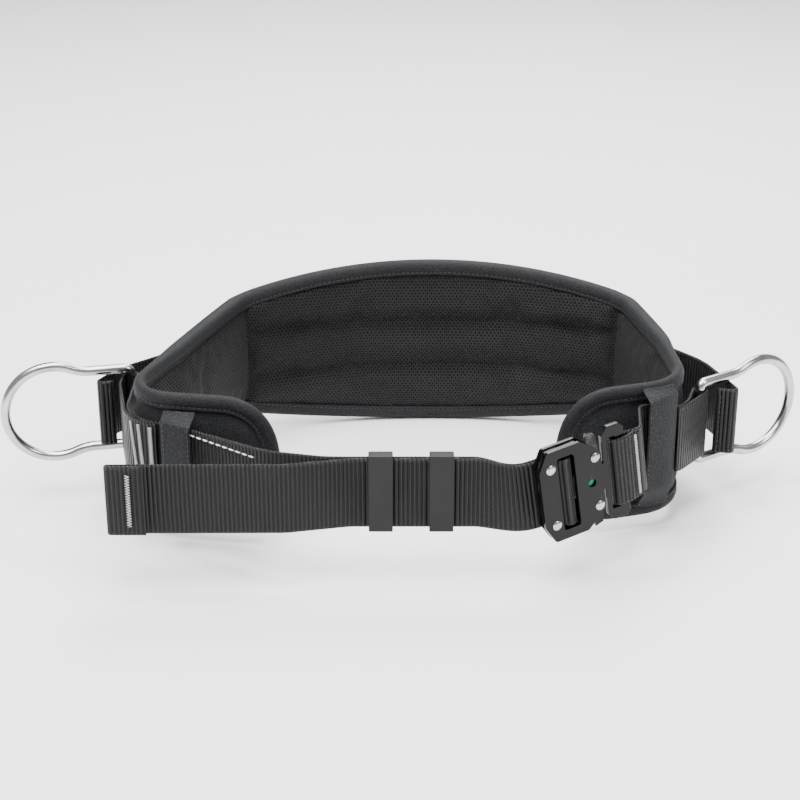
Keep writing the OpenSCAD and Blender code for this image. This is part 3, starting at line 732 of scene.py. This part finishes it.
def binding():
    """One folded tape round the whole pad, sewn through near its inner edges."""
    loop, even, length = perimeter()
    inward = inward_of(loop)
    half = foam_half(np.clip(loop[:, 0], 0, pad_line.length)) * 0.8 + 0.9 * MM
    # Inward distance, and out as a share of the half thickness plus a proud part.
    face = [(10.5, -0.7, 0.0), (10.3, -0.86, 0.9), (9.3, -0.92, 1.4), (8.5, -0.9, 1.2), (8.0, -0.82, -0.4),
            (7.5, -0.92, 1.1), (5.4, -0.97, 1.4), (3.2, -0.92, 1.1), (1.4, -0.74, 0.7), (0.3, -0.42, 0.3)]
    profile = face + [(0.0, 0.0, 0.0)] + [(d, -share, -proud) for d, share, proud in reversed(face)]
    rings, widths = [], [0.0]
    for d, share, proud in profile:
        place = loop + inward * d * MM
        out = share * half - math.copysign(proud, -share) * MM * 0.6
        rings.append(on_pad(place[:, 0], place[:, 1], out))
    for before, after in zip(profile, profile[1:], strict=False):
        widths.append(widths[-1] + math.hypot(after[0] - before[0], 4 * (after[1] - before[1])) * MM)
    grid = np.stack(rings, axis=1)
    inner_rows = np.stack([
        on_pad((loop + inward * d * MM)[:, 0], (loop + inward * d * MM)[:, 1], out * half)
        for d, out in ((9.6, 0.5), (9.6, -0.5))
    ], axis=1)
    grid = np.concatenate([grid, inner_rows], axis=1)
    widths += [widths[-1] + MM, widths[-1] + 2 * MM]
    n, m = grid.shape[:2]
    faces = grid_faces(n, m, True, True, flip=True)
    uv = np.stack(np.broadcast_arrays(even[:, None], np.array(widths)[None, :]), axis=-1).reshape(-1, 2)
    piece = made("pad_binding", grid.reshape(-1, 3), faces, uv, [BINDING])
    soften(piece)
    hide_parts("binding_back", "binding_left", "binding_right")
    stitches = []
    for side in (-1, 1):
        def place(s, lift, side=side):
            k = np.interp(s % length, even, np.arange(len(even)), period=length)
            spot = np.stack([np.interp(k, np.arange(len(loop)), loop[:, i]) for i in (0, 1)], axis=1)
            inn = np.stack([np.interp(k, np.arange(len(loop)), inward[:, i]) for i in (0, 1)], axis=1)
            thick = np.interp(k, np.arange(len(loop)), half)
            at = spot + inn * 8.0 * MM
            return on_pad(at[:, 0], at[:, 1], side * (0.86 * thick + 0.25 * MM + lift))
        stitches += dashes(place, length - 6 * MM, 3.4 * MM, 0.72)
    thread = tubes("binding_stitches", stitches, 0.28 * MM, DARK_THREAD, sides=5)


def seam_stitches():
    """Thread in the two channel seams and the two fold seams of the pad's inner face."""
    lines = []
    back = s_fold_right - s_fold_left
    for rise in (-CHANNEL, CHANNEL):
        def place(s, lift, rise=rise):
            at = s_fold_left + s
            return on_pad(at, rise, -foam_half(at) * SEAM_SHARE - 0.9 * MM - lift)
        lines += dashes(place, back, 3.6 * MM, 0.7)
    for fold in (s_fold_left, s_fold_right):
        def upright(r, lift, fold=fold):
            return on_pad(fold, r - 33 * MM, -foam_half(fold) * SEAM_SHARE - 1.6 * MM - lift)
        lines += dashes(upright, 66 * MM, 3.6 * MM, 0.7)
    thread = tubes("seam_stitches", lines, 0.3 * MM, DARK_THREAD, sides=5)


def belt_loop(name, middle, node, rise_start, rise_end, lift):
    """A strip of cover cloth that arches over the webbing, its edges turned in."""
    width, thick = 20 * MM, 1.2 * MM
    s = np.linspace(middle - width / 2, middle + width / 2, 9)
    foot = FOAM_TONGUE + 3.35 * MM
    arch, arch_up = WEB_W / 2 + 2.2 * MM, WEB_W / 2 + 2.2 * MM + lift
    rise = rise_start + (rise_end - rise_start) * np.linspace(0, 1, len(s))
    corners = [(-44 * MM, None), (-arch, 1), (arch_up, 1), (arch_up + 5 * MM, None)]
    heights, share = [], []
    for (z0, a), (z1, b) in zip(corners, corners[1:], strict=False):
        t = np.linspace(0, 1, 10)[:-1]
        heights += list(z0 + (z1 - z0) * t)
        share += list((a or 0) + ((b or 0) - (a or 0)) * smooth(t) ** 0.9)
    heights.append(corners[-1][0])
    share.append(0.0)
    heights, share = np.array(heights), np.array(share)
    edge = 1 - 0.45 * (np.abs(np.linspace(-1, 1, len(s))) > 0.9)
    out = foot + (rise[:, None] - foot) * share[None, :]
    low = on_pad(s[:, None], z_mid - pad_z(s)[:, None] + heights[None, :], out)
    high = on_pad(s[:, None], z_mid - pad_z(s)[:, None] + heights[None, :], out + thick * edge[:, None])
    points = np.concatenate([low.reshape(-1, 3), high.reshape(-1, 3)])
    faces = slab_faces(*low.shape[:2])[0]
    uv = np.stack(np.broadcast_arrays(s[:, None], heights[None, :]), axis=-1).reshape(-1, 2)
    piece = made(name, points, faces, np.concatenate([uv, uv]), [SHELL])
    soften(piece)
    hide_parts(node)
    lines = []
    for at in (s[1] - 1 * MM, s[-2] + 1 * MM):
        def place(r, lift, at=at):
            q = -42 * MM + r
            over = np.interp(q, heights, share)
            here = rise_start + (rise_end - rise_start) * (at - s[0]) / width
            out = foot + (here - foot) * over + thick * 0.9 + lift
            return on_pad(at, z_mid - pad_z(np.array(at)) + q, out)
        lines += dashes(place, arch_up + 45 * MM, 3.2 * MM, 0.7)
    thread = tubes(name + "_stitches", lines, 0.25 * MM, DARK_THREAD, sides=5)
    run = np.hypot(np.diff(heights), np.diff(out[len(s) // 2])).sum()


# ---- webbing and its stitching --------------------------------------------------------------------
def webbing(name, web, thread):
    """The band itself, thinner at its selvedges; the thread given to it is not used."""
    path = web.path
    n = int(path.length / (2.6 * MM))
    s = np.unique(np.concatenate([np.linspace(0, path.length, n), path.st]))
    s = s[np.concatenate([[True], np.diff(s) > 0.2 * MM])]
    v = np.array([-1, -0.985, -0.94, -0.5, 0, 0.5, 0.94, 0.985, 1]) * WEB_W / 2
    thin = np.array([0.35, 0.8, 1, 1, 1, 1, 1, 0.8, 0.35]) * WEB_T / 2
    across = np.concatenate([v, v[::-1]])
    out = np.concatenate([thin, -thin[::-1]])
    rings = web.spot(s[:, None], across[None, :], out[None, :])
    points, faces = lofted(rings)
    uv = np.stack(np.broadcast_arrays(s[:, None], across[None, :]), axis=-1).reshape(-1, 2)
    piece = made(name, points, faces, uv, [WEBBING])
    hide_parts(name.replace("_strap", ""))


def bar_tack(web, s_low, s_high, reach, side, width, pitch=0.7 * MM):
    """A dense zigzag across the band, from s_low at its lower end to s_high at its upper."""
    n = int(2 * reach / pitch)
    t = np.linspace(-1, 1, 2 * n + 1)
    s = s_low + (s_high - s_low) * (t + 1) / 2 + np.where(np.arange(2 * n + 1) % 2, 0.5, -0.5) * width
    return web.spot(s, t * reach, side * (WEB_T / 2 + 0.2 * MM))


front, link, back = Web(front_web_line()), Web(link_web_line()), Web(back_web_line(), False)


def front_stitching():
    """Three bars on the sewn-back flap, a bar on the tail's hem, and a row beside the left loop."""
    total = front.path.length
    flap = [bar_tack(front, low * MM, high * MM, 19.5 * MM, 1, 2.2 * MM)
            for low, high in ((3.2, 3.6), (9.5, 12.5), (14.5, 20.0))]
    hem_middle = total - HEM * 0.45
    hem = [bar_tack(front, hem_middle, hem_middle, 17 * MM, -1, 2.2 * MM, 1.7 * MM)]
    start, stop = (front.path.nearest(p) for p in plan([[-131, -103], [-84, -127]]))

    def edging(s, lift):
        across = WEB_W / 2 - 3.5 * MM - 3 * MM * s / (stop - start)
        return front.spot(start + s, across, -(WEB_T / 2 + lift))

    edge = dashes(edging, stop - start, 5.0 * MM, 0.8)
    return tubes("front_bar_tacks", flap + hem + edge, 0.48 * MM, WHITE_THREAD)


def back_stitching():
    """Seams across the two hip tabs, and two rows that hold the web to the pad."""
    total = back.path.length
    lines = []
    for at in (3.2 * MM, total - 3.2 * MM):
        def across(r, lift, at=at):
            return back.spot(at, r - 19 * MM, WEB_T / 2 + lift)
        lines += dashes(across, 38 * MM, 3.4 * MM, 0.7)
    for level in (-18.5 * MM, 18.5 * MM):
        def along(s, lift, level=level):
            return back.spot(80 * MM + s, level, WEB_T / 2 + lift)
        lines += dashes(along, total - 160 * MM, 3.2 * MM, 0.72)
    return tubes("back_seams", lines, 0.3 * MM, DARK_THREAD, sides=5)


def link_stitching():
    """A dense white row that closes the end of the link web behind the tongue plate."""
    at = link.path.length - 3.4 * MM
    row = bar_tack(link, at, at, 20.5 * MM, -1, 1.9 * MM, 1.0 * MM)
    return tubes("link_zigzag", [row], 0.34 * MM, WHITE_THREAD)


pad_body()
binding()
seam_stitches()
MIDDLE_LEFT, MIDDLE_RIGHT = s_corner_left - 30 * MM, s_corner_right + 18.5 * MM
belt_loop("loop_strip_left", MIDDLE_LEFT, "belt_loop_left", 22 * MM, 13.5 * MM, 0)
belt_loop("loop_strip_right", MIDDLE_RIGHT, "belt_loop_right", 10.6 * MM, 18.5 * MM, 8.5 * MM)
webbing("front_web_strap", front, front_stitching())
webbing("link_web_strap", link, link_stitching())
webbing("back_web_strap", back, back_stitching())


# ---- rings ----------------------------------------------------------------------------------------
def d_ring(name, joint, node, body):
    """One bent and welded wire: straight bar, neck, flare and round end."""
    bar = np.array(joints[joint]["pos_m"])
    low, high = span(node)
    wire, reach = 2 * WIRE_R, 82.5 * MM
    neck, bend, flare, bow = 26.75 * MM, 4 * MM, 30 * MM, 31.75 * MM
    bow_x = reach - bow
    flare_x = bow_x - math.sqrt((bow + flare) ** 2 - (neck + flare) ** 2)
    flare_a = math.degrees(math.atan2(neck + flare, bow_x - flare_x))
    upper = [np.zeros(2), *arc(np.array([bend, neck - bend]), bend, 180, -90, 8),
             *arc(np.array([flare_x, neck + flare]), flare, -90, 90 - flare_a, 8),
             *arc(np.array([bow_x, 0.0]), bow, 180 - flare_a, flare_a - 180, 26)[1:]]
    line = np.array(upper + [p * [1, -1] for p in upper[-2:0:-1]])
    tip_x = low[0] if node.endswith("left") else high[0]
    away = -1 if node.endswith("left") else 1
    angle = math.acos(min(1.0, (abs(tip_x - bar[0]) - wire / 2) / reach))
    lean = turn(math.degrees(angle)) * away
    ahead, behind = np.roll(line, -1, axis=0), np.roll(line, 1, axis=0)
    d = (ahead - behind) / np.linalg.norm(ahead - behind, axis=1, keepdims=True)
    normal = np.stack([-d[:, 1], d[:, 0]], axis=1)
    rings = []
    for a in np.linspace(0, 2 * math.pi, 24, endpoint=False):
        q = line + normal * math.cos(a) * wire / 2
        side = math.sin(a) * wire / 2
        rings.append(np.stack([bar[0] + lean[0] * q[:, 0] - lean[1] * side,
                               bar[1] + lean[1] * q[:, 0] + lean[0] * side, bar[2] + q[:, 1]], axis=1))
    rings = np.stack(rings, axis=1)
    points, faces = lofted(rings, wrap_rings=True)
    piece = made(name, points, faces, None, [ZINC], body)
    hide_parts(node)
    return piece


d_ring("ring_wire_left", "ring_left_swing", "d_ring_left", "ring_left")
d_ring("ring_wire_right", "ring_right_swing", "d_ring_right", "ring_right")


# ---- rigid parts keep their CAD shape -------------------------------------------------------------
def finished(node, material, edge, segments=2):
    """A CAD node with its own material and its edges broken."""
    o = frame["nodes"][node]
    o.data.materials.clear()
    o.data.materials.append(material)
    weld = o.modifiers.new("weld", "WELD")
    weld.merge_threshold = 0.01 * MM
    bevel = o.modifiers.new("edge", "BEVEL")
    bevel.width, bevel.segments = edge, segments
    bevel.limit_method, bevel.angle_limit = "ANGLE", math.radians(35)
    o.data.polygons.foreach_set("use_smooth", [True] * len(o.data.polygons))
    tidy = o.modifiers.new("normals", "WEIGHTED_NORMAL")
    tidy.keep_sharp = True


for plate in ("buckle_front_plate", "buckle_back_plate", "tongue_plate", "release_lever_upper",
              "release_lever_lower", "buckle_side_rails"):
    finished(plate, BLACK_STEEL, 0.45 * MM, 3)
finished("adjuster_bar", BLACK_STEEL, 0.3 * MM)
finished("buckle_rivets", ZINC, 0.15 * MM)
finished("lever_springs", ZINC, 0.1 * MM)
finished("lock_indicator", GREEN, 0.1 * MM)
for keeper in ("keeper_inner", "keeper_outer"):
    finished(keeper, KEEPER, 0.5 * MM, 3)


# ---- floor, light and camera ----------------------------------------------------------------------
def studio():
    m = Shader("floor_paper", Roughness=0.85, Specular_IOR_Level=0.2)
    grain = m.noise(4, 2)
    m.use(m.ramp(grain, (0.93, 0.93, 0.93), (0.96, 0.96, 0.96)), m.ramp(grain, 0.8, 0.9))
    corners = [(-6, -6, 0), (6, -6, 0), (6, 6, 0), (-6, 6, 0)]
    floor = made("floor", corners, [(0, 1, 2, 3)], None, [m.material], None)
    world = bpy.data.worlds.new("studio")
    bpy.context.scene.world = world
    world.use_nodes = True
    world.node_tree.nodes["Background"].inputs["Color"].default_value = (1, 1, 1, 1)
    world.node_tree.nodes["Background"].inputs["Strength"].default_value = 0.5
    lamps = (("key", (-0.3, -0.35, 1.9), 1.6, 110), ("fill", (1.2, -0.9, 1.3), 0.7, 16),
             ("rim", (0.2, 1.2, 1.5), 1.0, 40))
    for name, at, size, power in lamps:
        data = bpy.data.lights.new(name, "AREA")
        data.size, data.energy = size, power
        lamp = bpy.data.objects.new(name, data)
        lamp.location = at
        lamp.rotation_euler = (Vector((0, 0, 0.06)) - Vector(at)).to_track_quat("-Z", "Y").to_euler()
        bpy.context.scene.collection.objects.link(lamp)


def camera():
    """Looks at the webbing's middle from the front, 23 degrees above the level."""
    data = bpy.data.cameras.new("camera")
    data.lens, data.sensor_width = 81, 36
    eye = bpy.data.objects.new("camera", data)
    aim = Vector((*shift, z_mid))
    rise = math.radians(23)
    eye.location = aim + 1.2 * Vector((0, -math.cos(rise), math.sin(rise)))
    eye.rotation_euler = (aim - eye.location).to_track_quat("-Z", "Y").to_euler()
    bpy.context.scene.collection.objects.link(eye)
    bpy.context.scene.camera = eye


studio()
camera()
